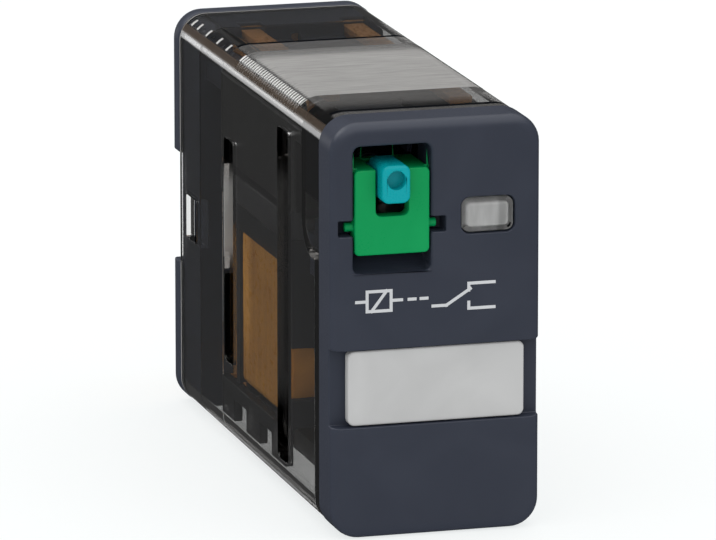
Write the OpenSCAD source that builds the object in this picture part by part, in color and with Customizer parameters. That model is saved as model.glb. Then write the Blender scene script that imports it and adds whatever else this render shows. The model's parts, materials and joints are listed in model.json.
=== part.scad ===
// Plug-in control relay: one changeover contact in a narrow, clear-covered case.
// The frame: origin at the centre of the base's rear seating face, X to the right
// seen from the front, Y back towards the blades, Z up. Millimetres.

/* [Case] */
// Width of the case
body_w = 14; // [14:0.1:14.4]
// Height of the case
body_h = 27.4; // [27.2:0.1:27.8]
// Depth of the case, without the blades
body_d = 40; // [39.5:0.5:42]
// Corner radius of the front cap and the base flange
corner_r = 1.9; // [1.6:0.1:2.2]
// Depth of the front cap
cap_d = 3.3; // [3.2:0.1:3.6]
// Thickness of the base flange
flange_t = 1.4; // [1.2:0.1:1.6]
// How far the clear cover stands inside the cap's outline, each side
cover_inset = 0.05; // [0.05:0.05:0.1]
// Wall thickness of the clear cover
wall = 1; // [0.9:0.05:1]

/* [Front] */
// Width of the legend label
label_w = 11.8; // [11:0.1:12]
// Height of the legend label
label_h = 4.95; // [4.6:0.05:5]
// Width of the lock door
door_w = 5; // [4.8:0.1:5.1]
// Width of the test button
button_w = 1.9; // [1.7:0.1:2]
// Width of the indicator lens
lens_w = 3.4; // [3:0.1:3.5]
// Height of the indicator lens
lens_h = 2.2; // [2:0.1:2.3]

/* [Magnet] */
// Diameter of the magnet core
core_dia = 5.2; // [4.8:0.1:5.4]
// Diameter of the core's pole face
pole_dia = 7.6; // [7:0.1:7.8]
// Thickness of the yoke
yoke_t = 1.4; // [1.2:0.1:1.4]
// Thickness of the armature
armature_t = 1.2; // [1:0.1:1.2]

/* [Blades] */
// Thickness of each blade
blade_t = 0.5; // [0.4:0.1:0.5]
// Width of a contact blade
blade_w = 4.8; // [4.6:0.1:4.8]
// Width of a coil blade
coil_blade_w = 2.8; // [2.6:0.1:2.8]
// How far the blades stand out of the base
blade_len = 6.5; // [6:0.1:7]
// Diameter of the detent hole in a contact blade
blade_hole_dia = 1.4; // [1.2:0.1:1.4]

/* [Hidden] */
$fn = 48;
eps = 0.01;
gap = 0.05;

navy = "#343a4a";
clear_smoke = [0.30, 0.30, 0.30, 0.45];
contact_grey = "#4a4a4b";
copper = "#c07a3c";
silver = "#d8d8d4";
steel = "#9a9da0";

// Places are given as a depth d behind the front face and a height h above the underside.
function behind(d) = d - body_d;
function above(h) = h - body_h / 2;

// Depths of the main faces
flange_d = body_d - flange_t;
front_wall_in = cap_d + 1.9;
blade_tip_d = body_d + blade_len;

// Front of the base's plug, which closes the back of the cover
plug_d = 33.8;

// Heights of the common, open and closed contact blades, and the place of the coil blades
contact_blade_h = [10.4, 16.9, 23.3];
coil_blade_x = 3.4;
coil_blade_h = 4.3;

// The side notches in the flange, where an adapter's legs pass, and the windows they hook into
notch_depth = 1.45;
notch_h0 = 10.1;
notch_h1 = 17.7;
window_d0 = 34.3;
window_d1 = 37;
window_h0 = 12.2;
window_h1 = 15.15;

// The door recess and what turns in it
recess_x0 = -5.6;
recess_x1 = -0.4;
recess_mid = (recess_x0 + recess_x1) / 2;
recess_top = 25.9;
pivot_d = 0.75;
pivot_h = 20.58;
pivot_r = 0.35;
button_h = 23.5;
stem_r = 0.55;
collar_r = 1.1;
spring_seat_d = 4.35;

// The pocket of the clear cover behind the recess
pocket_x0 = -6;
pocket_x1 = 0;
pocket_floor_in = 7.6;
pocket_floor_out = 8.3;
pocket_bend_r = 2.4;

// The magnet, on one axis along Y
coil_h = 9.8;
pole_face_d = 12;
bobbin_front = 13;
bobbin_rear = 26.9;
flange_plate = 0.8;
winding_w = 10;
winding_h = 10.6;
winding_r = 0.5;
tape_t = 0.15;
hinge_d = 10.8;
hinge_h = 2.6;
yoke_rear_d = 28.4;
yoke_half_w = 3.8;

// The contacts, on one axis along Y
contact_x = 1.2;
contact_h = 20.5;
tip_r = 1.1;
strip_top = 26.05;

// A box between two corners, given as ranges of x, depth and height
module slab(x0, x1, d0, d1, h0, h1) {
    translate([x0, behind(d0), above(h0)]) cube([x1 - x0, d1 - d0, h1 - h0]);
}

// A cylinder along Y, one along X and one along Z
module rod_y(x, h, r, d0, d1) {
    translate([x, behind(d0), above(h)]) rotate([-90, 0, 0]) cylinder(r = r, h = d1 - d0);
}
module rod_x(x0, x1, d, h, r) {
    translate([x0, behind(d), above(h)]) rotate([0, 90, 0]) cylinder(r = r, h = x1 - x0);
}
module rod_z(x, d, r, h0, h1) {
    translate([x, behind(d), above(h0)]) cylinder(r = r, h = h1 - h0);
}

// A front-view outline carried from depth d0 to d1
module prism(d0, d1) {
    translate([0, behind(d1), 0]) rotate([90, 0, 0]) linear_extrude(height = d1 - d0) children();
}

// A side-view outline in depth and height, carried from x0 to x1
module side_prism(x0, x1) {
    translate([x0, behind(0), above(0)]) rotate([90, 0, 90])
        linear_extrude(height = x1 - x0) children();
}

module round_rect(w, h, r) {
    square([w - 2 * r, h], center = true);
    square([w, h - 2 * r], center = true);
    for (x = [-1, 1], z = [-1, 1])
        translate([x * (w / 2 - r), z * (h / 2 - r)]) circle(r = r);
}

// An outline of the given size whose centre is at x and height h
module round_rect_at(x, h, w, height, r) {
    translate([x, above(h)]) round_rect(w, height, r);
}

module both_sides() {
    children();
    mirror([1, 0, 0]) children();
}

// A round wire wound as a helix along Y, from depth d0 to d1
module helix_y(x, h, coil_r, wire_r, turns, d0, d1) {
    steps = 20;
    sides = 8;
    rings = turns * steps;
    pts = [
        for (i = [0:rings], j = [0:sides - 1])
            let (a = 360 * i / steps, b = 360 * j / sides, r = coil_r + wire_r * cos(b))
            [r * cos(a), (d1 - d0 - 2 * wire_r) * i / rings + wire_r * (1 + sin(b)), r * sin(a)]
    ];
    walls = [
        for (i = [0:rings - 1], j = [0:sides - 1])
            let (k = (j + 1) % sides)
            [i * sides + j, (i + 1) * sides + j, (i + 1) * sides + k, i * sides + k]
    ];
    ends = [
        [for (j = [0:sides - 1]) j],
        [for (j = [sides - 1:-1:0]) rings * sides + j]
    ];
    translate([x, behind(d0), above(h)]) polyhedron(points = pts, faces = concat(walls, ends));
}

// ---- Case ----

// Slot in the base for one blade, with a slip clearance all round
module blade_slot(x, h, w) {
    slab(x - blade_t / 2 - gap, x + blade_t / 2 + gap, flange_d - 6, body_d + 1,
        h - w / 2 - gap, h + w / 2 + gap);
}

module base() {
    color(navy) difference() {
        union() {
            prism(flange_d, body_d) round_rect(body_w, body_h, corner_r);
            prism(plug_d, flange_d + eps)
                round_rect(body_w - 1.4, body_h - 1.4, corner_r - 0.8);
            // tongue under the two copper strips
            slab(-5.6, 5.6, 29.4, plug_d + eps, 23.7, strip_top - blade_t - 0.1);
        }
        // notches for the adapter's legs, and pockets for their hooks behind the windows
        both_sides() {
            slab(body_w / 2 - notch_depth, body_w, flange_d, body_d + 1, notch_h0, notch_h1);
            slab(body_w / 2 - notch_depth, body_w, plug_d - 1, window_d1 + 0.2,
                window_h0 - 0.2, window_h1 + 0.2);
        }
        // room for the bent plates of the open and closed contact terminals
        slab(-3.8, 5.2, plug_d - eps, 35.3, 14, 24.4);
        slab(-3.8, -2.2, plug_d - 1, 35.3, 24, body_h - 0.6);
        slab(3.4, 5.2, plug_d - 1, 35.3, 24, body_h - 0.6);
        for (h = contact_blade_h) blade_slot(0, h, blade_w);
        both_sides() blade_slot(coil_blade_x, coil_blade_h, coil_blade_w);
    }
}

// One of the narrow vertical openings in a side wall of the cover
module side_slot(d0, d1, h0, h1) {
    slab(-body_w, -body_w / 2 + wall + 0.2, d0, d1, h0, h1);
}

rib_first = 9.7;
rib_pitch = 0.5;
rib_count = 30;
rib_depth = 0.08;

// Fine grooves across the top of the cover and round its two upper edges
module rib_grooves() {
    for (i = [0:rib_count - 1])
        prism(rib_first + i * rib_pitch, rib_first + (i + 0.5) * rib_pitch) difference() {
            translate([-body_w, above(25.3)]) square([2 * body_w, 5]);
            round_rect(body_w - 2 * (cover_inset + rib_depth),
                body_h - 2 * (cover_inset + rib_depth), corner_r - cover_inset - rib_depth);
        }
}

// Side view of the pocket that the button and door sit in, grown by t
module pocket_outline(t, d_floor, top) {
    bend_d = pocket_floor_out - pocket_bend_r;
    low_h = 17.5 + pocket_bend_r;
    translate([cap_d - 1, low_h]) square([d_floor - cap_d + 1, top - low_h]);
    translate([cap_d - 1, low_h - pocket_bend_r - t])
        square([bend_d - cap_d + 1, pocket_bend_r + t + eps]);
    translate([bend_d, low_h]) circle(r = pocket_bend_r + t);
}

module cover() {
    outer_w = body_w - 2 * cover_inset;
    outer_h = body_h - 2 * cover_inset;
    outer_r = corner_r - cover_inset;
    color(clear_smoke) difference() {
        union() {
            difference() {
                prism(cap_d, flange_d) round_rect(outer_w, outer_h, outer_r);
                prism(front_wall_in, 28.1 + eps)
                    round_rect(outer_w - 2 * wall, outer_h - 2 * wall, outer_r - wall);
                prism(28.1, 33.7 + eps)
                    round_rect(outer_w - 2 * wall + 0.2, outer_h - 2 * wall + 0.2, outer_r - wall + 0.1);
                prism(33.7, flange_d + 1)
                    round_rect(outer_w - 1.2, outer_h - 1.2, outer_r - 0.6);
            }
            // walls of the pocket
            intersection() {
                side_prism(pocket_x0, pocket_x1) pocket_outline(0, pocket_floor_out, 26.5);
                slab(pocket_x0, pocket_x1, cap_d, 10, 15, 26.5);
            }
        }
        // inside of the pocket
        side_prism(recess_x0 - gap, recess_x1) pocket_outline(-0.65, pocket_floor_in, 26);
        // hole for the button's stem, hole for the light pipe
        rod_y(recess_mid, button_h, stem_r + 0.1, pocket_floor_in - 1, pocket_floor_out + 1);
        prism(cap_d - 1, front_wall_in + 1) round_rect_at(3.4, 21, 3.1, 1.9, 0.4);
        both_sides() {
            side_slot(24.7, 27, 5.9, 21.2);
            side_slot(10.9, 13.5, 2.45, 24.7);
            side_slot(window_d0, window_d1, window_h0, window_h1);
        }
        rib_grooves();
    }
}

label_leg_x = 4.6;

// Hood behind the top of the recess: a ceiling, a rear wall and a right side
module recess_hood() {
    x1 = recess_x1 - gap;
    slab(recess_x0, x1, 2.4, 7.5, 25.55, recess_top + gap);
    slab(recess_x0, x1, 7.2, 7.5, 24.45, recess_top);
    slab(x1 - 0.3, x1, 4.4, 7.5, 24.45, recess_top);
}

module front_cap() {
    color(navy) {
        difference() {
            prism(0, cap_d) round_rect(body_w, body_h, corner_r);
            // hollow back, closed round the recess
            difference() {
                prism(2.2, cap_d + 1) round_rect(body_w - 2, body_h - 2, corner_r - 1);
                slab(-6.3, 0.3, 2, cap_d, 16.9, 26.6);
                slab(1.2, 5.6, 2, cap_d, 19.4, 22.6);
            }
            // channel for the legend label, and slots for its two legs
            slab(-body_w, body_w, -1, 1, 7.45, 12.54);
            both_sides() slab(label_leg_x - 0.5, label_leg_x + 0.5, 0, 3, 9.2, 10.8);
            // recess for the door, with a finger scoop below it
            intersection() {
                side_prism(recess_x0, recess_x1)
                    polygon([[-1, 16.5], [cap_d + 1, 19.2], [cap_d + 1, recess_top], [-1, recess_top]]);
                prism(-1, cap_d + 1)
                    round_rect_at(recess_mid, (17.2 + recess_top) / 2, recess_x1 - recess_x0,
                        recess_top - 17.2, 0.5);
            }
            // seats for the door's pivot pins
            slab(recess_mid - 3.58, recess_mid + 3.58, -1, pivot_d + 0.6, 20.06, 21.1);
            prism(-1, cap_d + 1) round_rect_at(3.4, 21, lens_w + 0.2, lens_h + 0.2, 0.6);
        }
        recess_hood();
    }
}

module lock_door() {
    half = door_w / 2;
    color("#109655") difference() {
        union() {
            // front plate and the shelf behind its upper edge
            prism(gap, 1.15) round_rect_at(recess_mid, 21.55, door_w, 5.6, 0.35);
            slab(recess_mid - half, recess_mid + half, gap + 0.4, 4.25, 23.1, 24.35);
            rod_x(recess_mid - 3.05, recess_mid + 3.05, pivot_d, pivot_h, pivot_r);
        }
        prism(-1, 3.7) round_rect_at(recess_mid, 24.27, 2.2, 6, 0.4);
        // the shelf's rear bar bridges the button's stem
        slab(recess_mid - 1.1, recess_mid + 1.1, 3.7 - eps, 5, 23, 24.1);
    }
}

module test_button() {
    head_h0 = 22.26;
    head_h1 = 24.76;
    color("#10a0a8") {
        difference() {
            prism(-1, 2.4)
                round_rect_at(recess_mid, (head_h0 + head_h1) / 2, button_w, head_h1 - head_h0, 0.45);
            rod_y(recess_mid, 23.8, 0.62, -2, -0.2);
        }
        rod_y(recess_mid, button_h, stem_r, 2.4 - eps, 9.1);
        // seat for the spring, and stop collar behind the pocket
        rod_y(recess_mid, button_h, 0.84, spring_seat_d, spring_seat_d + 0.2);
        rod_y(recess_mid, button_h, collar_r, 8.55, 9.1);
    }
}

module button_spring() {
    color(steel) helix_y(recess_mid, button_h, 0.74, 0.1, 4, spring_seat_d + 0.25, 7.55);
}

module legend_label() {
    color("#bebebe") {
        prism(0.2, 0.95) round_rect_at(0, 10, label_w, label_h, 0.45);
        both_sides() slab(label_leg_x - 0.4, label_leg_x + 0.4, 0.95 - eps, 2.9, 9.3, 10.7);
    }
}

// ---- Indicator ----

module indicator_lens() {
    color([0.75, 0.75, 0.75, 0.5]) {
        prism(-0.05, 1.2) round_rect_at(3.4, 21, lens_w, lens_h, 0.5);
        prism(1.2 - eps, 6.4) round_rect_at(3.4, 21, 3, 1.8, 0.35);
    }
}

module indicator_led() {
    color([0.9, 0.95, 0.9, 0.8]) {
        rod_y(3.4, 21, 0.95, 7, 8.3);
        translate([3.4, behind(7), above(21)]) sphere(r = 0.6);
        rod_y(3.4, 21, 1.15, 8.3 - eps, 8.6);
    }
}

// Two wires from the diode's back to the board
module led_leads() {
    color(silver) for (h = [20.5, 21.5])
        slab(3.3, 5.35, 8.6, 8.8, h - 0.1, h + 0.1);
}

module led_board() {
    color("#2f6b45") slab(5.35, 5.85, 5.4, 9.9, 6, 23);
}

module led_resistor() {
    color("#b7a27a") rod_z(4.7, 7.4, 0.6, 14.9, 18.1);
    color(silver) for (h = [14.6, 18.1]) {
        rod_z(4.7, 7.4, 0.12, h, h + 0.3);
        rod_x(4.6, 5.35, 7.4, h + 0.15, 0.12);
    }
}

module suppression_diode() {
    color("#222222") rod_z(4.6, 7.4, 0.7, 8.9, 12.1);
    color(silver) for (h = [8.6, 12.1])
        slab(4.5, 5.35, 7.3, 7.5, h, h + 0.3);
}

// ---- Magnet ----

module coil_bobbin() {
    rear_plate = 1;
    color("#3a3f4c") {
        difference() {
            union() {
                rod_y(0, coil_h, core_dia / 2 + 0.6, bobbin_front, bobbin_rear);
                slab(-5.35, 5.35, bobbin_front, bobbin_front + flange_plate, 4.3, 17);
                slab(-5.35, 5.35, bobbin_rear - rear_plate, bobbin_rear, 3.4, 16);
                // rails over and under the winding, with three feet on each side
                both_sides() {
                    slab(5.15, 5.75, bobbin_front, bobbin_rear, 15.3, 17);
                    slab(5.15, 5.75, bobbin_front, 29.5, 3.2, 4.3);
                    for (d = [13.2, 19.6, 26]) slab(5.15, 5.75, d, d + 3.4, 1.7, 3.2 + eps);
                }
            }
            rod_y(0, coil_h, core_dia / 2 + 0.05, bobbin_front - 1, bobbin_rear + 1);
            both_sides() {
                // windows in the front plate, and notches for the coil's wires in the rear one
                slab(3.4, 6, bobbin_front - 1, bobbin_front + flange_plate + eps, 6.2, 9.7);
                slab(4.7, 5.15, bobbin_rear - rear_plate - eps, bobbin_rear + 1, 3, 4.4);
            }
        }
    }
}

// Copper wound in a rounded rectangle round the bobbin's tube
module coil_winding() {
    color(copper) difference() {
        prism(bobbin_front + flange_plate + 0.02, bobbin_rear - 1.02)
            round_rect_at(0, coil_h, winding_w, winding_h, winding_r);
        rod_y(0, coil_h, core_dia / 2 + 0.6, bobbin_front, bobbin_rear);
    }
}

module coil_tape() {
    color("#cf9a50") difference() {
        prism(bobbin_front + flange_plate + 0.1, bobbin_rear - 1.1)
            round_rect_at(0, coil_h, winding_w + 2 * tape_t, winding_h + 2 * tape_t,
                winding_r + tape_t);
        prism(bobbin_front, bobbin_rear)
            round_rect_at(0, coil_h, winding_w, winding_h, winding_r);
    }
}

module magnet_core() {
    color(steel) {
        rod_y(0, coil_h, core_dia / 2, pole_face_d + 0.9 - eps, yoke_rear_d);
        rod_y(0, coil_h, pole_dia / 2, pole_face_d, pole_face_d + 0.9);
    }
}

module magnet_yoke() {
    leg_h0 = 1.75;
    color(steel) difference() {
        union() {
            slab(-yoke_half_w, yoke_half_w, yoke_rear_d - yoke_t, yoke_rear_d, leg_h0, 15.8);
            slab(-yoke_half_w, yoke_half_w, 11.55, yoke_rear_d, leg_h0, leg_h0 + yoke_t);
        }
        rod_y(0, coil_h, core_dia / 2, yoke_rear_d - yoke_t - 1, yoke_rear_d + 1);
    }
}

// Hinged plate in front of the pole face; its round lower end is the hinge
module armature() {
    half_t = armature_t / 2;
    color("#8d9296") {
        rod_x(-yoke_half_w, yoke_half_w, hinge_d, hinge_h, half_t);
        slab(-yoke_half_w, yoke_half_w, hinge_d - half_t, hinge_d + half_t, hinge_h, 14.2);
        slab(-3.2, 3.2, hinge_d - half_t, hinge_d + half_t, 14.2 - eps, 16.8);
    }
}

// Spring clip under the yoke that keeps the armature's hinge in its seat
module armature_clip() {
    color(silver) {
        slab(-1.5, 1.5, 9.4, 17, 1.4, 1.7);
        slab(-1.5, 1.5, 9.4, 9.7, 1.4 + eps, 4.4);
    }
}

// ---- Contacts ----

// Plastic block on the armature, with the upright that the button pushes
module contact_carrier() {
    color(navy) {
        difference() {
            slab(-4.3, 4.3, 9.4, 12.3, 14.9, 17.6);
            slab(-3.25, 3.25, hinge_d - armature_t / 2 - gap, hinge_d + armature_t / 2 + gap, 14, 16.85);
            slab(contact_x - 1.55, contact_x + 1.55, 11.4, 11.9, 14, 18);
        }
        slab(-4.3, -2, 9.4, 10.8, 17.6 - eps, 24.6);
    }
}

// Spring between the barrier and the carrier's upright, which turns the armature back
module return_spring() {
    color(steel) helix_y(-3.15, 18.28, 0.53, 0.1, 4, 10.85, 12.95);
}

module moving_contact_arm() {
    color(copper) difference() {
        slab(contact_x - 1.5, contact_x + 1.5, 11.45, 11.85, 14.3, 22.2);
        rod_y(contact_x, contact_h, 0.5, 11, 12.5);
    }
}

module moving_contact_tips() {
    color(silver) {
        rod_y(contact_x, contact_h, 1, 10.35, 11.45);
        rod_y(contact_x, contact_h, 0.5, 11.45 - eps, 11.85 + eps);
        rod_y(contact_x, contact_h, 1, 11.85, 13.25);
    }
}

// Flat braid from the common terminal to the moving arm
module contact_braid() {
    color("#b5713a") {
        slab(-0.5, 0.9, 11.87, 12.07, 17.7, 19.3);
        slab(-0.5, 0.9, 12.07 - eps, 32.95, 19.1, 19.3);
    }
}

module insulating_barrier() {
    color("#56575a") difference() {
        slab(-5.8, 5.8, 13, 29.5, 17.05, 18.9);
        slab(-4.9, 4.9, 14, 28.6, 16, 18.2);
    }
}

// Frame above the coil, whose first cross wall backs the open contact's plate, with a shield
// between the button's pocket and the closed contact
module contact_block() {
    h0 = 19.45;
    h1 = 25.3;
    color(contact_grey) {
        difference() {
            slab(-5.85, 5.85, 10.3, 29.2, h0, h1);
            slab(-5.2, 5.2, 9, 28.2, h0 - 1, h1 + 1);
        }
        for (d = [15.42, 19.8, 24]) slab(-5.2 - eps, 5.2 + eps, d, d + 0.9, h0, h1);
        slab(-5.85, -5.2, 8.45, 10.3 + eps, h1 - 1, h1);
        difference() {
            slab(-5.85, 0.6, 8.45, 8.8, h0, h1);
            rod_y(recess_mid, button_h, collar_r + 0.2, 8, 9);
        }
    }
}

// A blade with chamfered corners at its tip, from depth d0 to the tip
module blade(x, h, w, d0) {
    c = 0.8;
    side_prism(x - blade_t / 2, x + blade_t / 2)
        polygon([
            [d0, h - w / 2], [blade_tip_d - c, h - w / 2], [blade_tip_d, h - w / 2 + c],
            [blade_tip_d, h + w / 2 - c], [blade_tip_d - c, h + w / 2], [d0, h + w / 2]
        ]);
}

module contact_blade(h, d0) {
    difference() {
        blade(0, h, blade_w, d0);
        rod_x(-1, 1, blade_tip_d - 3, h, blade_hole_dia / 2);
    }
}

module terminal_common() {
    color(copper) {
        contact_blade(contact_blade_h[0], 33);
        slab(-1, 1, 33, 33.5, 8, 18);
        slab(-0.5, 0.9, 33, 33.5, 18 - eps, 19.4);
    }
}

// Normally open: the plate behind the moving contact
module terminal_open() {
    color(copper) {
        contact_blade(contact_blade_h[1], 34.2);
        slab(-3.7, 0.25, 34.2, 34.7, 16.9, 19.2);
        slab(-3.7, -2.3, 34.2, 34.7, 19.2 - eps, strip_top);
        slab(-3.7, -2.3, 14.9, 34.7, strip_top - blade_t, strip_top);
        slab(-3.7, -2.3, 14.9, 15.4, 19.6, strip_top);
        slab(-3.7, 2.6, 14.9, 15.4, 19.6, 22.5);
    }
}

// Normally closed: the plate in front of the moving contact
module terminal_closed() {
    color(copper) {
        contact_blade(contact_blade_h[2], 34.2);
        slab(-0.25, 5, 34.2, 34.7, 21.2, 24.2);
        slab(3.5, 5, 34.2, 34.7, 24.2 - eps, strip_top);
        slab(3.5, 5, 9, 34.7, strip_top - blade_t, strip_top);
        slab(3.5, 5, 9, 9.5, 22, strip_top);
        slab(-0.4, 5, 9, 9.5, 22.2, 23.4);
        slab(-0.4, 2.7, 9, 9.5, 19.2, 22.2 + eps);
    }
}

module fixed_tip_open() {
    color(silver) rod_y(contact_x, contact_h, tip_r, 14.2, 14.9);
}

module fixed_tip_closed() {
    color(silver) rod_y(contact_x, contact_h, tip_r, 9.5, 10.3);
}

module coil_terminal(x) {
    color(copper) blade(x, coil_blade_h, coil_blade_w, 30);
}

module terminal_coil_left() {
    coil_terminal(-coil_blade_x);
}

module terminal_coil_right() {
    coil_terminal(coil_blade_x);
}

lead_x = 4.93;
lead_r = 0.15;

// Wire ends from the winding, past the yoke, to the two coil terminals
module coil_leads() {
    color(copper) both_sides() {
        rod_y(lead_x, 3.8, lead_r, 25.7, 30.6);
        rod_x(coil_blade_x + blade_t / 2, lead_x, 30.45, 3.8, lead_r);
    }
}

// Insulated wires from the board, along the floor of the cover, to the same terminals
module board_leads() {
    color("#8c3b33") {
        rod_z(5.2, 9.6, lead_r, 2.3, 6.6);
        rod_y(5.2 - 0.25, 2.45, lead_r, 9.45, 32);
    }
}

base();
cover();
front_cap();
lock_door();
test_button();
button_spring();
legend_label();
indicator_lens();
indicator_led();
led_leads();
led_board();
led_resistor();
suppression_diode();
coil_bobbin();
coil_winding();
coil_tape();
magnet_core();
magnet_yoke();
armature();
armature_clip();
contact_carrier();
return_spring();
moving_contact_arm();
moving_contact_tips();
contact_braid();
insulating_barrier();
contact_block();
terminal_common();
terminal_open();
terminal_closed();
fixed_tip_open();
fixed_tip_closed();
terminal_coil_left();
terminal_coil_right();
coil_leads();
board_leads();
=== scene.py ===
import json
import math

import bmesh
import bpy
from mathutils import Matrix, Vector


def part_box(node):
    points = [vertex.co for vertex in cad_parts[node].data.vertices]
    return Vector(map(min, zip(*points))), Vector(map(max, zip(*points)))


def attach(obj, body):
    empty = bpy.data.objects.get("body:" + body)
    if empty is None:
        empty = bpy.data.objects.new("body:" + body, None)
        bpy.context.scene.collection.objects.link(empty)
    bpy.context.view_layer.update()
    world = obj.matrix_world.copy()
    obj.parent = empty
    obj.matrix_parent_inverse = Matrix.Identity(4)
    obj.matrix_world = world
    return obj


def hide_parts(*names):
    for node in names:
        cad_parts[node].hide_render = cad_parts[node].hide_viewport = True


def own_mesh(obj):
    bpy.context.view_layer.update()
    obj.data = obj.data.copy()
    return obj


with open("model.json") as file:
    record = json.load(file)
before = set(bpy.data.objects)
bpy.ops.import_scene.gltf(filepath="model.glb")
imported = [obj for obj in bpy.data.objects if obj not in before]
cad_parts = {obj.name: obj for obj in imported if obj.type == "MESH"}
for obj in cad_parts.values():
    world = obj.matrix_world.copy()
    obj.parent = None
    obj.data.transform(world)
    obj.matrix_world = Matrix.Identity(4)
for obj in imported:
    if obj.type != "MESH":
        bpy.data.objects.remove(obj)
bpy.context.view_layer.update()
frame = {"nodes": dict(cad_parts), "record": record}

# ---- The shared frame ----
# Places are given in millimetres as x, a depth d behind the case's front face and a height h
# above its underside, and place() turns them into points of the frame.

MM = 0.001
cap_low, cap_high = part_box("front_cap")
FRONT = cap_low.y
UNDER = cap_low.z
BODY_W = (cap_high.x - cap_low.x) / MM
BODY_H = (cap_high.z - cap_low.z) / MM
HALF_W = BODY_W / 2


def place(x, d, h):
    return Vector((x * MM, FRONT + d * MM, UNDER + h * MM))


def box_mm(node):
    """A CAD node's box as x0, x1, d0, d1, h0, h1 in millimetres."""
    low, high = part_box(node)
    return (low.x / MM, high.x / MM, (low.y - FRONT) / MM, (high.y - FRONT) / MM,
            (low.z - UNDER) / MM, (high.z - UNDER) / MM)


# ---- Places on the relay, in millimetres ----

CAP_D = box_mm("cover")[2]  # the cap ends and the cover begins
CAP_WALL = 1.0
RECESS_X = (-5.6, -0.4)
RECESS_H = (17.55, 25.9)
LENS_X, LENS_H = 3.4, 21.0
BUTTON_X, BUTTON_H = -3.0, 23.5
DOOR_X = (BUTTON_X - 2.5, BUTTON_X + 2.5)
PIVOT_D, PIVOT_H = 0.75, 20.58
LABEL_LEGS_X = (-4.6, 4.6)
COVER_R = 1.85
CORNER_H = 25.5  # the centre of the cover's upper corner
RIB_FIRST = 9.7
RIB_PITCH = 0.5
RIB_COUNT = 30
RIB_LAST = RIB_FIRST + RIB_PITCH * RIB_COUNT
RIB_DEPTH = 0.08
# The side walls' openings: range of d, range of h, corner radius.
FRONT_SLOT = ((10.9, 13.5), (2.45, 24.7), 0.35)
REAR_SLOT = ((24.7, 27), (5.9, 21.2), 0.35)
WINDOW = ((34.3, 37), (12.2, 15.15), 0.12)


def around(centre, reach):
    """The range that reaches equally far both ways from a centre."""
    return (centre - reach, centre + reach)


# ---- Mesh tools ----

def add_mesh(name, bm):
    mesh = bpy.data.meshes.new(name)
    bmesh.ops.recalc_face_normals(bm, faces=bm.faces)
    bm.to_mesh(mesh)
    bm.free()
    piece = bpy.data.objects.new(name, mesh)
    bpy.context.scene.collection.objects.link(piece)
    return piece


def loft(name, rings):
    """A closed solid through rings of points, one after the other, with flat ends."""
    bm = bmesh.new()
    rows = [[bm.verts.new(p) for p in ring] for ring in rings]
    count = len(rows[0])
    for a, b in zip(rows, rows[1:]):
        for i in range(count):
            j = (i + 1) % count
            bm.faces.new((a[i], a[j], b[j], b[i]))
    bm.faces.new(rows[0])
    bm.faces.new(rows[-1])
    return add_mesh(name, bm)


def round_rect(x0, x1, h0, h1, r, steps=8):
    """Points of a rounded rectangle, the same number for any size."""
    corners = ((x1 - r, h1 - r, 0), (x0 + r, h1 - r, 90),
               (x0 + r, h0 + r, 180), (x1 - r, h0 + r, 270))
    points = []
    for cx, ch, start in corners:
        for i in range(steps + 1):
            a = math.radians(start + 90 * i / steps)
            points.append((cx + r * math.cos(a), ch + r * math.sin(a)))
    return points


def from_axis(axis, u, v, w):
    """A point whose outline coordinates are u, v and whose place along the axis is w."""
    if axis == "d":
        return place(u, w, v)
    if axis == "x":
        return place(w, u, v)
    return place(u, v, w)


def block(name, u, v, w, r=0.2, axis="d", start_r=0.0, end_r=0.0, steps=8, edge_steps=4):
    """A rounded rectangle u by v carried along the axis from w[0] to w[1], with rounded end edges.
    u, v and w are ranges: x and h along d, d and h along x, x and d along h."""
    least_r = 0.02
    quarter = [math.pi / 2 * k / edge_steps for k in range(edge_steps + 1)]
    ends = [(0.0, w[0])]
    if start_r > 0:
        ends = [(start_r * (1 - math.sin(a)), w[0] + start_r * (1 - math.cos(a))) for a in quarter]
    if end_r > 0:
        ends += [(end_r * (1 - math.cos(a)), w[1] - end_r * (1 - math.sin(a))) for a in quarter]
    else:
        ends.append((0.0, w[1]))
    rings = []
    for inset, level in ends:
        outline = round_rect(u[0] + inset, u[1] - inset, v[0] + inset, v[1] - inset,
                             max(r - inset, least_r), steps)
        rings.append([from_axis(axis, a, b, level) for a, b in outline])
    return loft(name, rings)


def opening(name, u, v, depth, r, flare):
    """A tool that sinks a rounded rectangle into the front face and rounds over its rim."""
    steps = 5
    ends = [(flare, -1.0)]
    for k in range(steps + 1):
        a = math.pi / 2 * k / steps
        ends.append((flare * (1 - math.sin(a)), flare * (1 - math.cos(a))))
    ends.append((0.0, depth))
    rings = []
    for grow, level in ends:
        outline = round_rect(u[0] - grow, u[1] + grow, v[0] - grow, v[1] + grow, r + grow)
        rings.append([place(a, level, b) for a, b in outline])
    return loft(name, rings)


def prism(name, outline, w, axis="d"):
    """An outline carried along the axis from w[0] to w[1]."""
    return loft(name, [[from_axis(axis, a, b, level) for a, b in outline] for level in w])


def rod(name, centre, r, w, axis="d", sides=32):
    points = [(centre[0] + r * math.cos(2 * math.pi * i / sides),
               centre[1] + r * math.sin(2 * math.pi * i / sides)) for i in range(sides)]
    return prism(name, points, w, axis)


def bake(piece):
    """Applies the piece's modifiers to its mesh."""
    graph = bpy.context.evaluated_depsgraph_get()
    mesh = bpy.data.meshes.new_from_object(piece.evaluated_get(graph))
    piece.modifiers.clear()
    piece.data = mesh
    return piece


def combine(piece, operation, tools):
    for tool in tools:
        m = piece.modifiers.new("combine", "BOOLEAN")
        m.solver = "EXACT"
        m.operation = operation
        m.object = tool
    bake(piece)
    for tool in tools:
        bpy.data.objects.remove(tool)
    return piece


def cut(piece, *tools):
    return combine(piece, "DIFFERENCE", tools)


def join(piece, *tools):
    return combine(piece, "UNION", tools)


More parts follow.
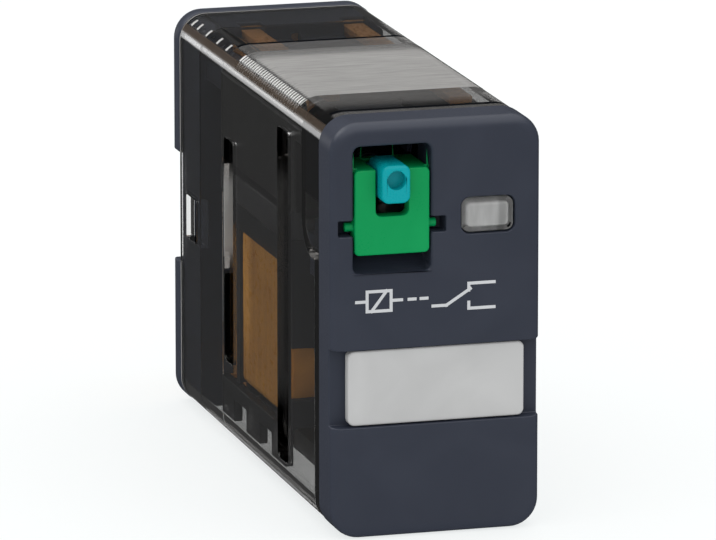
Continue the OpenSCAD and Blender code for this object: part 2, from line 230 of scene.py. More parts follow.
SAME_POINT = 2e-7  # metres
FLAT_ANGLE = math.radians(0.4)
SHARP_ANGLE = math.radians(32)


def add_soft_edges(piece, width):
    """Modifiers that merge split corners, clear flat faces of extra edges and round sharp ones."""
    weld = piece.modifiers.new("weld", "WELD")
    weld.merge_threshold = SAME_POINT
    flat = piece.modifiers.new("flat", "DECIMATE")
    flat.decimate_type = "DISSOLVE"
    flat.angle_limit = FLAT_ANGLE
    bevel = piece.modifiers.new("bevel", "BEVEL")
    bevel.width = width * MM
    bevel.segments = 2
    bevel.limit_method = "ANGLE"
    bevel.angle_limit = SHARP_ANGLE
    bevel.use_clamp_overlap = False
    bevel.miter_outer = "MITER_ARC"


def soften(piece, width):
    add_soft_edges(piece, width)
    return bake(piece)


def smooth(piece, angle=50):
    """Smooth shading, with edges sharper than the angle kept crisp."""
    bm = bmesh.new()
    bm.from_mesh(piece.data)
    for face in bm.faces:
        face.smooth = True
    for edge in bm.edges:
        edge.smooth = len(edge.link_faces) == 2 and edge.calc_face_angle() < math.radians(angle)
    bm.to_mesh(piece.data)
    bm.free()
    weighted = piece.modifiers.new("normals", "WEIGHTED_NORMAL")
    weighted.keep_sharp = True
    weighted.weight = 80
    return bake(piece)


def finish_piece(piece, body, material, slot, *nodes):
    piece.data.materials.clear()
    piece.data.materials.append(material)
    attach(piece, body)
    if nodes:
        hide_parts(*nodes)
    return piece


# ---- Materials ----

class Material:
    """A node material with a Principled shader and small helpers for its patterns."""

    def __init__(self, name, color, roughness, metallic=0.0, specular=0.5, ior=1.5):
        self.material = bpy.data.materials.new(name)
        self.material.use_nodes = True
        self.tree = self.material.node_tree
        self.shader = self.tree.nodes["Principled BSDF"]
        self.output = self.tree.nodes["Material Output"]
        self.shader.inputs["Base Color"].default_value = (*color, 1)
        self.shader.inputs["Roughness"].default_value = roughness
        self.shader.inputs["Metallic"].default_value = metallic
        self.shader.inputs["Specular IOR Level"].default_value = specular
        self.shader.inputs["IOR"].default_value = ior
        self.color = color
        self.coords = self.node("ShaderNodeTexCoord").outputs["Object"]
        self.height = None
        self.spot = None

    def node(self, kind, **values):
        made = self.tree.nodes.new(kind)
        for key, value in values.items():
            if key in made.inputs:
                made.inputs[key].default_value = value
            else:
                setattr(made, key, value)
        return made

    def link(self, a, b):
        self.tree.links.new(a, b)

    def stretched(self, x=1.0, y=1.0, z=1.0):
        mapping = self.node("ShaderNodeMapping", Scale=(x, y, z))
        self.link(self.coords, mapping.inputs["Vector"])
        return mapping.outputs["Vector"]

    def noise(self, per_mm, detail=2.0, stretch=(1, 1, 1), distortion=0.0):
        made = self.node("ShaderNodeTexNoise", Scale=per_mm / MM, Detail=detail,
                         Distortion=distortion)
        self.link(self.stretched(*stretch), made.inputs["Vector"])
        return made.outputs["Fac"]

    def ramp(self, value, low, high, at=(0.3, 0.7)):
        made = self.node("ShaderNodeMapRange")
        made.inputs["From Min"].default_value = at[0]
        made.inputs["From Max"].default_value = at[1]
        made.inputs["To Min"].default_value = low
        made.inputs["To Max"].default_value = high
        self.link(value, made.inputs["Value"])
        return made.outputs["Result"]

    def math(self, operation, a, b):
        made = self.node("ShaderNodeMath", operation=operation)
        for socket, value in zip(made.inputs, (a, b)):
            if isinstance(value, (int, float)):
                socket.default_value = value
            else:
                self.link(value, socket)
        return made.outputs[0]

    def mix(self, factor, a, b):
        made = self.node("ShaderNodeMix", data_type="RGBA")
        self.link(factor, made.inputs[0])
        for socket, value in zip((made.inputs[6], made.inputs[7]), (a, b)):
            if isinstance(value, tuple):
                socket.default_value = (*value, 1)
            else:
                self.link(value, socket)
        return made.outputs[2]

    def along(self, axis):
        """The surface's place along x, d or h, as the frame's own coordinate in metres."""
        if self.spot is None:
            self.spot = self.node("ShaderNodeSeparateXYZ")
            self.link(self.coords, self.spot.inputs[0])
        return self.spot.outputs["xdh".index(axis)]

    def level(self, axis, low, high):
        """0 at the low place and 1 at the high one, in millimetres along x, d or h."""
        fade = self.node("ShaderNodeMapRange", interpolation_type="SMOOTHSTEP")
        for end, value in (("From Min", low), ("From Max", high)):
            fade.inputs[end].default_value = place(value, value, value)["xdh".index(axis)]
        self.link(self.along(axis), fade.inputs["Value"])
        return fade.outputs["Result"]

    def span(self, axis, low, high, soft):
        """1 between two places, fading to 0 over the soft width outside them."""
        return self.times(self.level(axis, low - soft, low), self.level(axis, high + soft, high))

    def times(self, *values):
        total = values[0]
        for value in values[1:]:
            total = self.math("MULTIPLY", total, value)
        return total

    def most(self, *values):
        total = values[0]
        for value in values[1:]:
            total = self.math("MAXIMUM", total, value)
        return total

    def over(self, factor, below, above):
        """The shader above laid over the one below where factor is 1."""
        made = self.node("ShaderNodeMixShader")
        self.link(factor, made.inputs["Fac"])
        self.link(below, made.inputs[1])
        self.link(above, made.inputs[2])
        return made.outputs["Shader"]

    def coat(self, factor, below, color, roughness, specular=0.5):
        """An opaque surface of one colour laid over the shader below where factor is 1."""
        made = self.node("ShaderNodeBsdfPrincipled", Roughness=roughness)
        made.inputs["Base Color"].default_value = (*color, 1)
        made.inputs["Specular IOR Level"].default_value = specular
        return self.over(factor, below, made.outputs["BSDF"])

    def absorb(self, tint, density):
        """The tint is taken up on the way through, at a density for each metre."""
        made = self.node("ShaderNodeVolumeAbsorption")
        made.inputs["Color"].default_value = (*tint, 1)
        made.inputs["Density"].default_value = density
        self.link(made.outputs["Volume"], self.output.inputs["Volume"])

    def shades(self, factor, share):
        """The base colour, darker and lighter by the given share as factor goes from 0 to 1."""
        dark = tuple(c * (1 - share) for c in self.color)
        light = tuple(min(1, c * (1 + share)) for c in self.color)
        return self.mix(factor, dark, light)

    def set_color(self, socket):
        self.link(socket, self.shader.inputs["Base Color"])

    def set_roughness(self, value, low, high):
        self.link(self.ramp(value, low, high), self.shader.inputs["Roughness"])

    def bump(self, value, depth_mm, strength=1.0):
        made = self.node("ShaderNodeBump", Distance=depth_mm * MM, Strength=strength)
        self.link(value, made.inputs["Height"])
        if self.height is not None:
            self.link(self.height, made.inputs["Normal"])
        self.height = made.outputs["Normal"]
        self.link(self.height, self.shader.inputs["Normal"])


def moulded(name, color, roughness, grain_mm=0.12, grain_depth=0.0025, spread=0.05, specular=0.5):
    """Moulded plastic: fine eroded grain, faint flow marks and slow colour drift."""
    m = Material(name, color, roughness, specular=specular)
    grain = m.noise(1 / grain_mm, detail=3)
    flow = m.noise(0.18, detail=3, stretch=(1, 0.4, 1), distortion=1.2)
    m.set_color(m.shades(m.ramp(flow, 0, 1), spread))
    m.set_roughness(m.math("ADD", m.times(grain, 0.5), m.times(flow, 0.5)),
                    roughness - 0.06, roughness + 0.07)
    m.bump(grain, grain_depth)
    m.bump(flow, 0.01)
    return m.material


def clear(name, tint, density, ior):
    """Clear plastic that absorbs light along its way through, with faint flow waves on its skin."""
    m = Material(name, (1, 1, 1), 0.0, ior=ior)
    m.shader.inputs["Transmission Weight"].default_value = 1.0
    m.bump(m.noise(0.25, detail=2, stretch=(1, 0.5, 1)), 0.006)
    m.absorb(tint, density)
    return m.material


def metal(name, color, roughness, stretch, metallic=1.0):
    """Rolled or drawn metal: fine lines one way, and slow tarnish."""
    tarnish, brushed = 0.12, 0.003
    m = Material(name, color, roughness, metallic=metallic)
    lines = m.noise(12, detail=3, stretch=stretch)
    stain = m.noise(0.5, detail=4)
    m.set_color(m.shades(m.ramp(stain, 0, 1), tarnish))
    m.set_roughness(lines, roughness - 0.08, roughness + 0.1)
    m.bump(lines, brushed)
    return m.material


def taped(name, color, roughness):
    """Tape drawn tight over the turns of a coil, whose wires show through as stripes."""
    m = Material(name, color, roughness)
    turns = m.noise(1.6, detail=3, stretch=(0.02, 1, 0.02))
    stain = m.noise(0.25, detail=3)
    m.set_color(m.shades(m.math("ADD", m.times(m.ramp(turns, 0, 1), 0.6),
                                m.times(m.ramp(stain, 0, 1), 0.4)), 0.35))
    m.set_roughness(m.noise(2, detail=3), roughness - 0.08, roughness + 0.12)
    m.bump(turns, 0.02)
    return m.material


def milky(name, color):
    """Clear plastic with a fine frost that scatters most of the light, with painted shade darkening
    its right end.
    """
    m = Material(name, color, 0.12, ior=1.49)
    m.shader.inputs["Transmission Weight"].default_value = 0.05
    haze = m.noise(0.9, detail=3, stretch=(1.2, 0.4, 0.25))
    # Painted shade: the pane's right end is darkened.
    shade = m.times(m.span("x", LENS_X + 0.85, LENS_X + 1.1, 0.25), 0.4)
    m.set_color(m.mix(shade, m.shades(m.ramp(haze, 0, 1), 0.2), (0.16, 0.16, 0.16)))
    m.set_roughness(m.noise(3, detail=2), 0.06, 0.2)
    m.bump(haze, 0.01)
    return m.material


def smoked(name):
    """Smoked clear plastic with frosted places, painted light on some of them, painted highlights
    and a painted brown reflection along its upper left edge, and painted shade in black.
    """
    m = Material(name, (1, 1, 1), 0.0, ior=1.55)
    m.shader.inputs["Transmission Weight"].default_value = 1.0
    m.bump(m.noise(0.25, detail=2, stretch=(1, 0.5, 1)), 0.006)
    m.absorb((0.06, 0.03, 0.0), 135)
    top = m.level("h", 27.12, 27.22)
    look = with_painted_edge_reflections(m, with_frost_and_painted_light(m, top))
    # Painted shade: two black lines across the top stand in for steps inside the wall, and the
    # pocket behind the door is coated black where shade falls.
    lines = m.times(m.most(m.span("d", 27.1, 27.55, 0.05), m.span("d", 4.35, 4.75, 0.05)), top)
    look = m.coat(m.most(lines, painted_pocket_shade(m)), look, (0.006, 0.007, 0.009), 0.8, specular=0.0)
    m.link(look, m.output.inputs["Surface"])
    return m.material


def with_frost_and_painted_light(m, top):
    """Frost on the ribs, thinner on the top round them, and on the sawn rear faces of the side
    walls' openings and the welded rear rim, except beside the window; on those faces and the rim
    the light frost is painted light, standing in for light carried through the wall."""
    ribs = m.times(m.level("d", RIB_FIRST - 0.1, RIB_FIRST + 0.3), m.level("d", 25.4, 21.8))
    thin = m.most(m.times(m.level("d", 5.0, 7.5), m.level("d", 27.2, 27.1)),
                  m.span("d", CAP_D, 4.1, 0.1))
    streaks = m.ramp(m.noise(6, detail=3, stretch=(0.06, 1, 1)), 0.72, 0.97)
    above = m.times(m.most(m.times(ribs, 0.9), m.times(thin, 0.5)), streaks, top)

    def sawn(slot, low, high, share):
        rear = slot[0][1]
        return m.times(m.span("d", *around(rear, 0.03), 0.03), m.span("h", low, high, 2), share)

    # Painted light: a light frost on the sawn rear faces, strongest in a band of the rear slot.
    faces = m.most(sawn(FRONT_SLOT, 7.5, 20.5, 0.08), sawn(REAR_SLOT, 13.8, 17.6, 0.85))
    beside_window = m.most(m.level("h", 10.2, 10.0), m.level("h", 17.6, 17.8))
    # Painted highlight: a light line along the welded rear rim.
    rim = m.times(m.level("d", 38.3, 38.4), 0.75, beside_window)
    frost = m.node("ShaderNodeBsdfPrincipled", Roughness=0.55)
    m.link(m.mix(m.most(ribs, rim, faces), (0.16, 0.155, 0.15), (0.42, 0.412, 0.4)),
           frost.inputs["Base Color"])
    m.link(m.height, frost.inputs["Normal"])
    return m.over(m.most(above, rim, faces), m.shader.outputs["BSDF"], frost.outputs["BSDF"])


def with_painted_edge_reflections(m, look):
    """Painted highlights: white on the ribs' crests and white steps along the upper left edge, and
    a painted brown reflection below them.
    """
    turns_per_m = 2 * math.pi / (RIB_PITCH * MM)
    wave = m.math("SUBTRACT", m.times(m.along("d"), turns_per_m),
                  place(0, RIB_FIRST, 0).y * turns_per_m)
    crests = m.times(m.ramp(m.math("COSINE", wave, 0), 0, 1, at=(0.1, 0.5)),
                     m.span("d", RIB_FIRST, RIB_LAST, 0.2))
    steps = m.most(*(m.span("d", *around(d, 0.15), 0.08) for d in (28.3, 30.7, 33.5, 35.8, 37.3)))
    edge = m.times(m.span("x", -6.4, -6.02, 0.1), m.span("h", 26.82, 27.1, 0.08))
    # Painted highlights on the crests and the steps.
    look = m.coat(m.times(m.most(crests, m.times(steps, 0.8)), edge), look, (0.8, 0.79, 0.77), 0.4)
    below = m.times(m.span("x", -6.8, -6.5, 0.06), m.span("h", 26.25, 26.7, 0.1))
    # Painted reflection: a brown band below the highlights.
    return m.coat(m.times(below, 0.6), look, (0.1, 0.07, 0.048), 0.3)


def painted_pocket_shade(m):
    """Painted shade: the side walls and the rear wall of the pocket behind the door, coated black.
    """
    side_walls = m.most(m.span("x", -0.43, 0.04, 0.04), m.span("x", -5.72, -5.6, 0.03))
    rear_wall = m.times(m.span("x", -5.6, 0.04, 0.1), m.level("d", 7.5, 7.55))
    return m.times(m.most(side_walls, rear_wall), m.span("h", 21.6, 26.3, 0.2),
                   m.span("d", 3.2, 8.35, 0.1))


MATERIALS = {
    "navy_plastic": moulded("navy_plastic", (0.036, 0.043, 0.066), 0.42),
    "smoked_clear": smoked("smoked_clear"),
    "green_plastic": moulded("green_plastic", (0.001, 0.31, 0.088), 0.3,
                             grain_depth=0.0006, specular=0.22),
    "teal_plastic": moulded("teal_plastic", (0.001, 0.35, 0.39), 0.28,
                            grain_depth=0.0006, specular=0.22),
    "spring_steel": metal("spring_steel", (0.6, 0.6, 0.6), 0.28, (0.2, 1, 1)),
    "label_plastic": moulded("label_plastic", (0.52, 0.52, 0.52), 0.5, grain_mm=0.08),
    "lens_clear": clear("lens_clear", (0.9, 0.9, 0.9), 20, 1.49),
    "led_epoxy": clear("led_epoxy", (0.75, 0.95, 0.8), 150, 1.5),
    "tinned_wire": metal("tinned_wire", (0.75, 0.75, 0.72), 0.3, (1, 1, 0.2)),
    "board_laminate": moulded("board_laminate", (0.02, 0.11, 0.045), 0.4),
    "resistor_lacquer": moulded("resistor_lacquer", (0.42, 0.33, 0.19), 0.35),
    "diode_body": moulded("diode_body", (0.02, 0.02, 0.02), 0.4),
    "bobbin_plastic": moulded("bobbin_plastic", (0.03, 0.031, 0.036), 0.45),
    "copper_winding": metal("copper_winding", (0.95, 0.42, 0.10), 0.35, (1, 1, 1), metallic=0.1),
    "amber_tape": taped("amber_tape", (0.86, 0.36, 0.06), 0.3),
    "magnet_iron": metal("magnet_iron", (0.5, 0.5, 0.5), 0.35, (1, 0.15, 1)),
    "contact_grey_plastic": moulded("contact_grey_plastic", (0.033, 0.033, 0.033), 0.4),
    "barrier_plastic": moulded("barrier_plastic", (0.07, 0.07, 0.075), 0.4),
    "copper_alloy": metal("copper_alloy", (1.0, 0.46, 0.15), 0.3, (1, 0.1, 1), metallic=0.25),
    "contact_silver": metal("contact_silver", (0.85, 0.84, 0.8), 0.22, (1, 1, 1)),
    "lead_insulation": moulded("lead_insulation", (0.25, 0.03, 0.02), 0.4),
}

# Every carried-over CAD node takes its slot's material, and the listed ones take rounded edges.
slot_of = {row["node"]: row["material_slot"] for row in frame["record"]["subparts"]}
for node, piece in frame["nodes"].items():
    piece.data.materials.clear()
    piece.data.materials.append(MATERIALS[slot_of[node]])
for node, width in (("base", 0.12), ("coil_bobbin", 0.1), ("contact_block", 0.12),
                    ("insulating_barrier", 0.12), ("contact_carrier", 0.1), ("led_board", 0.04),
                    ("armature_clip", 0.04), ("terminal_common", 0.04), ("terminal_open", 0.04),
                    ("terminal_closed", 0.04), ("terminal_coil_left", 0.04),
                    ("terminal_coil_right", 0.04), ("moving_contact_arm", 0.04)):
    add_soft_edges(frame["nodes"][node], width)


def body_of(node):
    bodies = frame["record"]["behaviour"]["bodies"]
    return next(name for name, nodes in bodies.items() if node in nodes)


def stand_for(piece, node):
    """The finished piece takes the node's place, its body and its slot's material."""
    return finish_piece(piece, body_of(node), MATERIALS[slot_of[node]], slot_of[node], node)


# ---- Front cap ----



def finger_scoop():
    """The rising floor under the door, with a round lip towards the front."""
    slope, lip_d, lip_h, lip_r, rear_d, steps = math.radians(32), 1.58, 17.94, 2.6, 5.3, 8
    outline = [(-2, 10), (rear_d, 10), (rear_d, lip_h + (rear_d - lip_d) * math.tan(slope)),
               (lip_d, lip_h)]
    for k in range(1, steps + 1):
        a = slope * (1 - k / steps)
        outline.append((lip_d - lip_r * (math.sin(slope) - math.sin(a)),
                        lip_h - lip_r * (math.cos(a) - math.cos(slope))))
    outline.append((-2, outline[-1][1]))
    return prism("scoop", outline, (-7, 1), "x")


def build_front_cap():
    cap = block("front_cap_shell", (-HALF_W, HALF_W), (0, BODY_H), (0, CAP_D),
                r=1.9, start_r=0.85, steps=10, edge_steps=6)
    past = CAP_D + 2
    hollow = block("hollow", (CAP_WALL - HALF_W, HALF_W - CAP_WALL), (CAP_WALL, BODY_H - CAP_WALL),
                   (2.2, CAP_D + 1), r=0.9)
    cut(hollow, block("recess_walls", (-6.3, 0.3), (16.9, 26.6), (2, past), r=0.1),
        block("lens_walls", (1.2, 5.6), (19.4, 22.6), (2, past), r=0.1))
    recess = opening("recess", RECESS_X, RECESS_H, CAP_D + 1, 0.5, 0.22)
    cut(recess, finger_scoop())
    channel = [(-9, 7.45), (9, 7.45), (9, 12.54), (-9, 12.54)]
    pivots = [(-6.58, 20.06), (0.58, 20.06), (0.58, 21.1), (-6.58, 21.1)]
    lens_hole = opening("lens_hole", around(LENS_X, 1.8), around(LENS_H, 1.2), CAP_D + 1, 0.6, 0.12)
    leg_slots = [block("leg_slot", around(x, 0.5), (9.2, 10.8), (0, 3), r=0.08)
                 for x in LABEL_LEGS_X]
    cut(cap, hollow, recess, prism("channel", channel, (-1, 1)),
        prism("pivots", pivots, (-1, 1.35)), lens_hole, *leg_slots)
    inner = RECESS_X[1] - 0.05
    hood = (("hood_top", (RECESS_X[0], inner), (25.55, 25.95), (2.4, 7.5)),
            ("hood_back", (RECESS_X[0], inner), (24.45, 25.9), (7.2, 7.5)),
            ("hood_side", (inner - 0.3, inner), (24.45, 25.9), (4.4, 7.5)))
    join(cap, *(block(*wall, r=0.04) for wall in hood))
    return stand_for(smooth(soften(cap, 0.09)), "front_cap")


def build_lock_door():
    door = block("lock_door_leaf", DOOR_X, (18.75, 24.35), (0.05, 1.15), r=0.35, start_r=0.16)
    shelf = block("shelf", DOOR_X, (23.1, 24.35), (0.6, 4.25), r=0.1, end_r=0.08)
    pins = rod("pins", (PIVOT_D, PIVOT_H), 0.3, around(BUTTON_X, 3.05), "x")
    join(door, shelf, pins)
    beside_button = around(BUTTON_X, 1.1)
    cut(door, block("notch", beside_button, (21.27, 27), (-1, 3.7), r=0.4),
        block("under_bar", beside_button, (23, 24.1), (3.6, 5), r=0.05))
    return stand_for(smooth(soften(door, 0.07)), "lock_door")


def build_test_button():
    head = block("test_button_body", around(BUTTON_X, 0.95), (22.26, 24.76), (-1, 2.4),
                 r=0.5, start_r=0.3, end_r=0.08, edge_steps=6)
    cut(head, rod("blind_hole", (BUTTON_X, 23.8), 0.62, (-2, -0.2)))
    seat_d = box_mm("button_spring")[2] - 0.25
    stem = (BUTTON_X, BUTTON_H)
    join(head, rod("stem", stem, 0.55, (2.3, 9.1)),
         rod("seat", stem, 0.84, (seat_d, seat_d + 0.2), sides=40),
         rod("collar", stem, 1.1, (8.55, 9.1), sides=40))
    return stand_for(smooth(soften(head, 0.05)), "test_button")


def build_legend_label():
    label = block("legend_label_plate", (-5.9, 5.9), (7.525, 12.475), (0.2, 0.95),
                  r=0.45, start_r=0.14)
    join(label, *(block("leg", around(x, 0.4), (9.3, 10.7), (0.9, 2.9), r=0.1, end_r=0.15)
                  for x in LABEL_LEGS_X))
    return stand_for(smooth(soften(label, 0.04)), "legend_label")


def build_indicator_lens():
    """A clear lens on its light pipe, with a frosted pane, its shade and a fine rim inside it; the
    rim's light frost is a painted highlight for the glints on the lens's edge.
    """
    def ring(name, width, tall, d, **edges):
        return block(name, around(LENS_X, width), around(LENS_H, tall), d, **edges)

    lens = ring("indicator_lens_pipe", 1.7, 1.1, (-0.05, 1.2), r=0.5, start_r=0.28, edge_steps=5)
    join(lens, ring("pipe", 1.5, 0.9, (1.1, 6.4), r=0.35, end_r=0.1))
    stand_for(smooth(lens), "indicator_lens")
    pane = ring("pane", 1.4, 0.8, (0.2, 1.0), r=0.3, start_r=0.2)
    # Painted highlight: the fine frosted rim draws a light line round the pane.
    rim = cut(ring("rim", 1.62, 1.02, (0.3, 0.5), r=0.42),
              ring("inside", 1.58, 0.98, (0, 1), r=0.4))
    join(pane, rim, ring("shade", 1.6, 1, (0.8, 0.95), r=0.42))
    smooth(pane)
    bm = bmesh.new()
    bm.from_mesh(lens.data)
    first = len(bm.faces)
    bm.from_mesh(pane.data)
    bm.faces.ensure_lookup_table()
    for face in bm.faces[first:]:
        face.material_index = 1
    bm.to_mesh(lens.data)
    bm.free()
    lens.data.materials.append(milky("lens_pane", (0.86, 0.86, 0.85)))
    bpy.data.objects.remove(pane)
    return lens


# ---- Clear cover ----

def cover_ring(d, valley):
    """The cover's outline at a depth; valley 0 to 1 sinks its top into a groove between ribs."""
    points = []
    inset = 0.05
    middle = HALF_W - inset - COVER_R
    for x, h in round_rect(inset - HALF_W, HALF_W - inset, inset, BODY_H - inset, COVER_R, 12):
        share = min(max((h - 26.3) / 0.4, 0.0), 1.0)
        toward = Vector((min(max(x, -middle), middle) - x, CORNER_H - h))
        step = Vector((0, 0))
        if share > 0:
            step = toward.normalized() * (RIB_DEPTH * valley * share)
        points.append(place(x + step.x, d, h + step.y))
    return points


def pocket(name, x, bend, r, rear, top, front):
    """The space behind the door: x is its width, and its floor curves up to its rear wall."""
    floor, steps = 19.9, 12
    outline = [(front, top), (front, floor - r), (bend, floor - r)]
    for k in range(1, steps + 1):
        a = math.pi / 2 * k / steps
        outline.append((bend + r * math.sin(a), floor - r * math.cos(a)))
    outline.append((rear, top))
    return prism(name, outline, x, "x")


def build_cover():
    rings = [cover_ring(CAP_D, 0), cover_ring(RIB_FIRST - 0.05, 0)]
    samples = 8
    for i in range(RIB_COUNT * samples + 1):
        valley = (1 - math.cos(2 * math.pi * i / samples)) / 2
        rings.append(cover_ring(RIB_FIRST + RIB_PITCH * i / samples, valley))
    rings += [cover_ring(d, 0) for d in (RIB_LAST + 0.05, 38.45, 38.6)]
    cover = loft("cover_shell", rings)
    inner = []
    for d, t in ((5.2, 1.05), (28.1, 1.05), (28.1, 0.95), (33.7, 0.95), (33.7, 0.65), (39.6, 0.65)):
        outline = round_rect(t - HALF_W, HALF_W - t, t, BODY_H - t, 1.9 - t)
        inner.append([place(x, d, h) for x, h in outline])
    cavity = loft("cavity", inner)
    cut(cavity, pocket("pocket_walls", (-7, 0), 5.9, 2.4, 8.3, 26.5, 3.4))
    openings = [block("opening", d, h, x, r=r, axis="x")
                for x in ((-8, -5.75), (5.75, 8)) for d, h, r in (REAR_SLOT, FRONT_SLOT, WINDOW)]
    cut(cover, cavity, pocket("pocket_inside", (-5.65, -0.4), 5.85, 1.75, 7.6, 26, 2.3),
        rod("stem_hole", (BUTTON_X, BUTTON_H), 0.65, (6.6, 9.3)),
        block("pipe_hole", around(LENS_X, 1.55), around(LENS_H, 0.95), (2.3, 6.2), r=0.4),
        *openings)
    return stand_for(smooth(soften(cover, 0.04)), "cover")


# ---- Coil and springs ----

def build_coil_tape():
    """Tape with a shallow wave over each turn of the wire under it."""
    x0, x1, d0, d1, h0, h1 = box_mm("coil_tape")
    turns, samples, wave, wall = 34, 6, 0.05, 0.15
    rings = []
    for i in range(turns * samples + 1):
        sink = wave * (1 - math.cos(2 * math.pi * i / samples)) / 2
        outline = round_rect(x0 + sink, x1 - sink, h0 + sink, h1 - sink, 0.65, 5)
        d = d0 + (d1 - d0) * i / (turns * samples)
        rings.append([place(x, d, h) for x, h in outline])
    tape = loft("coil_tape_turns", rings)
    cut(tape, block("inside", (x0 + wall, x1 - wall), (h0 + wall, h1 - wall), (d0 - 1, d1 + 1),
                    r=0.5))
    return stand_for(smooth(tape, 60), "coil_tape")


def build_spring(node, centre, r):
    """A round wire spring along its node's length; its rear end is the fixed one."""
    d0, d1 = box_mm(node)[2:4]
    wire, turns, steps, sides = 0.1, 4, 32, 10
    rings = []
    for i in range(turns * steps + 1):
        a = 2 * math.pi * i / steps
        along = d0 + wire + (d1 - d0 - 2 * wire) * i / (turns * steps)
        ring = []
        for k in range(sides):
            b = 2 * math.pi * k / sides
            reach = r + wire * math.cos(b)
            ring.append(place(centre[0] + reach * math.cos(a), along + wire * math.sin(b),
                              centre[1] + reach * math.sin(a)))
        rings.append(ring)
    spring = stand_for(smooth(loft(node + "_wire", rings)), node)
    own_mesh(spring)
    return spring


build_front_cap()
build_lock_door()
build_test_button()
build_legend_label()
build_indicator_lens()
build_cover()
build_coil_tape()
button_spring = build_spring("button_spring", (BUTTON_X, BUTTON_H), 0.74)
button_spring.data.materials[0] = metal("blackened_steel", (0.03, 0.031, 0.035), 0.35, (0.2, 1, 1),
                                        metallic=0.4)
build_spring("return_spring", (-3.15, 18.28), 0.53)


# ---- Printed sign: a coil and a changeover contact, in the plain strokes of a circuit diagram ----

# Each stroke's two ends as x, h, x, h.
COIL_SIGN = ((-5.4, 15.75, -4.7, 15.75), (-4.7, 15.1, -4.7, 16.4), (-4.7, 16.4, -3.1, 16.4),
             (-3.1, 16.4, -3.1, 15.1), (-3.1, 15.1, -4.7, 15.1), (-4.4, 15.1, -3.4, 16.4),
             (-3.1, 15.75, -2.4, 15.75))
LINK_SIGN = ((-1.9, 15.75, -1.5, 15.75), (-1.1, 15.75, -0.7, 15.75))
CONTACT_SIGN = ((-0.3, 15.2, 0.6, 15.2), (0.6, 15.2, 2.2, 16.2), (2.1, 16.55, 2.1, 16.1),
                (2.1, 16.55, 3.8, 16.55), (2.1, 14.9, 2.1, 15.3), (2.1, 14.9, 3.8, 14.9))
STROKE_WIDTH = 0.2
INK_D = (-0.02, 0.03)


def stroke(x0, h0, x1, h1):
    start, end = Vector((x0, h0)), Vector((x1, h1))
    along = (end - start).normalized() * (STROKE_WIDTH / 2)
    side = Vector((-along.y, along.x))
    corners = [start - along + side, end + along + side, end + along - side, start - along - side]
    return prism("stroke", corners, INK_D)


def build_sign():
    sign, *others = [stroke(*ends) for ends in COIL_SIGN + LINK_SIGN + CONTACT_SIGN]
    sign.name = "printed_sign"
    join(sign, *others)
    ink = moulded("sign_ink", (0.6, 0.61, 0.63), 0.5, grain_mm=0.06, grain_depth=0.002)
    return finish_piece(sign, "case", ink, "label_plastic")


build_sign()

# ---- Stage, light and camera ----

FLOOR_GLOW = 0.74  # it lifts the floor to white, and soft shadows still show
floor = block("floor", (-600, 600), (-500, 1500), (-1.2, -0.02), r=60, axis="h")
floor_look = Material("floor_look", (0.3, 0.3, 0.3), 0.8, specular=0.0)
floor_look.set_color(floor_look.shades(floor_look.ramp(floor_look.noise(0.01), 0, 1), 0.02))
floor_look.shader.inputs["Emission Color"].default_value = (0.97, 1, 1, 1)
floor_look.shader.inputs["Emission Strength"].default_value = FLOOR_GLOW
floor.data.materials.append(floor_look.material)

world = bpy.data.worlds.new("studio")
bpy.context.scene.world = world
world.use_nodes = True
sky = world.node_tree


def mirrored_share(tree):
    """1 for light that came by way of a mirrored path, and 0 for light seen straight or through."""
    path = tree.nodes.new("ShaderNodeLightPath")
    limit = tree.nodes.new("ShaderNodeMath")
    limit.operation = "MINIMUM"
    limit.inputs[1].default_value = 1.0
    tree.links.new(path.outputs["Glossy Depth"], limit.inputs[0])
    return limit.outputs[0]


# Mirrors see the studio's dark surroundings and its lights, and not the floor.
see_past = floor_look.node("ShaderNodeBsdfTransparent")
either = floor_look.over(mirrored_share(floor_look.tree), floor_look.shader.outputs["BSDF"],
                         see_past.outputs["BSDF"])
floor_look.link(either, floor_look.output.inputs["Surface"])

# Round soft lights that only mirrors see: azimuth, 0 behind the object and 90 on its right;
# elevation; the radius of full strength and of none, all in degrees; strength; strength outside.
SURROUND = 0.05
LIGHTS = ((0, 90, 35, 62, 1.3, SURROUND), (-20, -1, 2, 6, 1.8, 0), (-50, 40, 8, 22, 2.7, 0),
          (16, -13, 4, 8, 1.0, 0))


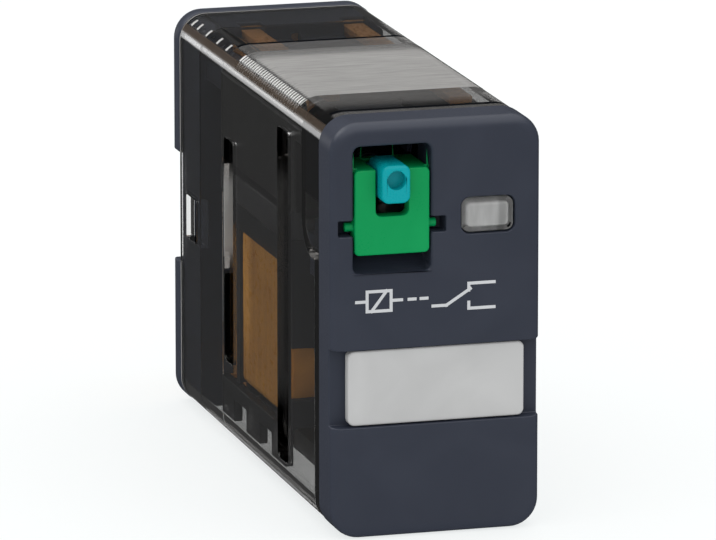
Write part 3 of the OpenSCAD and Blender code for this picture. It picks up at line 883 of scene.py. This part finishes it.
def round_light(azimuth, elevation, inner, outer, strength, outside):
    a, e = math.radians(azimuth), math.radians(elevation)
    towards = sky.nodes.new("ShaderNodeVectorMath")
    towards.operation = "DOT_PRODUCT"
    towards.inputs[1].default_value = (math.sin(a) * math.cos(e), math.cos(a) * math.cos(e),
                                       math.sin(e))
    sky.links.new(direction, towards.inputs[0])
    fade = sky.nodes.new("ShaderNodeMapRange")
    fade.interpolation_type = "SMOOTHSTEP"
    fade.inputs["From Min"].default_value = math.cos(math.radians(outer))
    fade.inputs["From Max"].default_value = math.cos(math.radians(inner))
    fade.inputs["To Min"].default_value = outside
    fade.inputs["To Max"].default_value = strength
    sky.links.new(towards.outputs["Value"], fade.inputs["Value"])
    return fade.outputs["Result"]


direction = sky.nodes.new("ShaderNodeTexCoord").outputs["Generated"]
total = round_light(*LIGHTS[0])
for light in LIGHTS[1:]:
    both = sky.nodes.new("ShaderNodeMath")
    both.operation = "ADD"
    sky.links.new(total, both.inputs[0])
    sky.links.new(round_light(*light), both.inputs[1])
    total = both.outputs[0]

soft_light = sky.nodes["Background"]
soft_light.inputs["Color"].default_value = (1, 1, 1, 1)
soft_light.inputs["Strength"].default_value = 1.0
mirrored = sky.nodes.new("ShaderNodeBackground")
mirrored.inputs["Color"].default_value = (1, 1, 1, 1)
sky.links.new(total, mirrored.inputs["Strength"])
choose = sky.nodes.new("ShaderNodeMixShader")
sky.links.new(mirrored_share(sky), choose.inputs["Fac"])
sky.links.new(soft_light.outputs["Background"], choose.inputs[1])
sky.links.new(mirrored.outputs["Background"], choose.inputs[2])
sky.links.new(choose.outputs["Shader"], sky.nodes["World Output"].inputs["Surface"])

AZIMUTH = math.radians(15.956)
ELEVATION = math.radians(12.975)
DISTANCE = 533.27 * MM
AIM = Vector((1.1, -17.6, -1.18)) * MM
FOCAL_LENGTH = 400.3
back = Vector((-math.sin(AZIMUTH) * math.cos(ELEVATION),
               -math.cos(AZIMUTH) * math.cos(ELEVATION), math.sin(ELEVATION)))
camera = bpy.data.objects.new("camera", bpy.data.cameras.new("camera"))
bpy.context.scene.collection.objects.link(camera)
camera.data.lens = FOCAL_LENGTH
camera.data.sensor_width = 36
camera.data.clip_start = 0.01
camera.data.clip_end = 10
camera.location = AIM + back * DISTANCE
camera.rotation_mode = "QUATERNION"
camera.rotation_quaternion = (-back).to_track_quat("-Z", "Y")
bpy.context.scene.camera = camera
bpy.context.scene.view_settings.view_transform = "Standard"
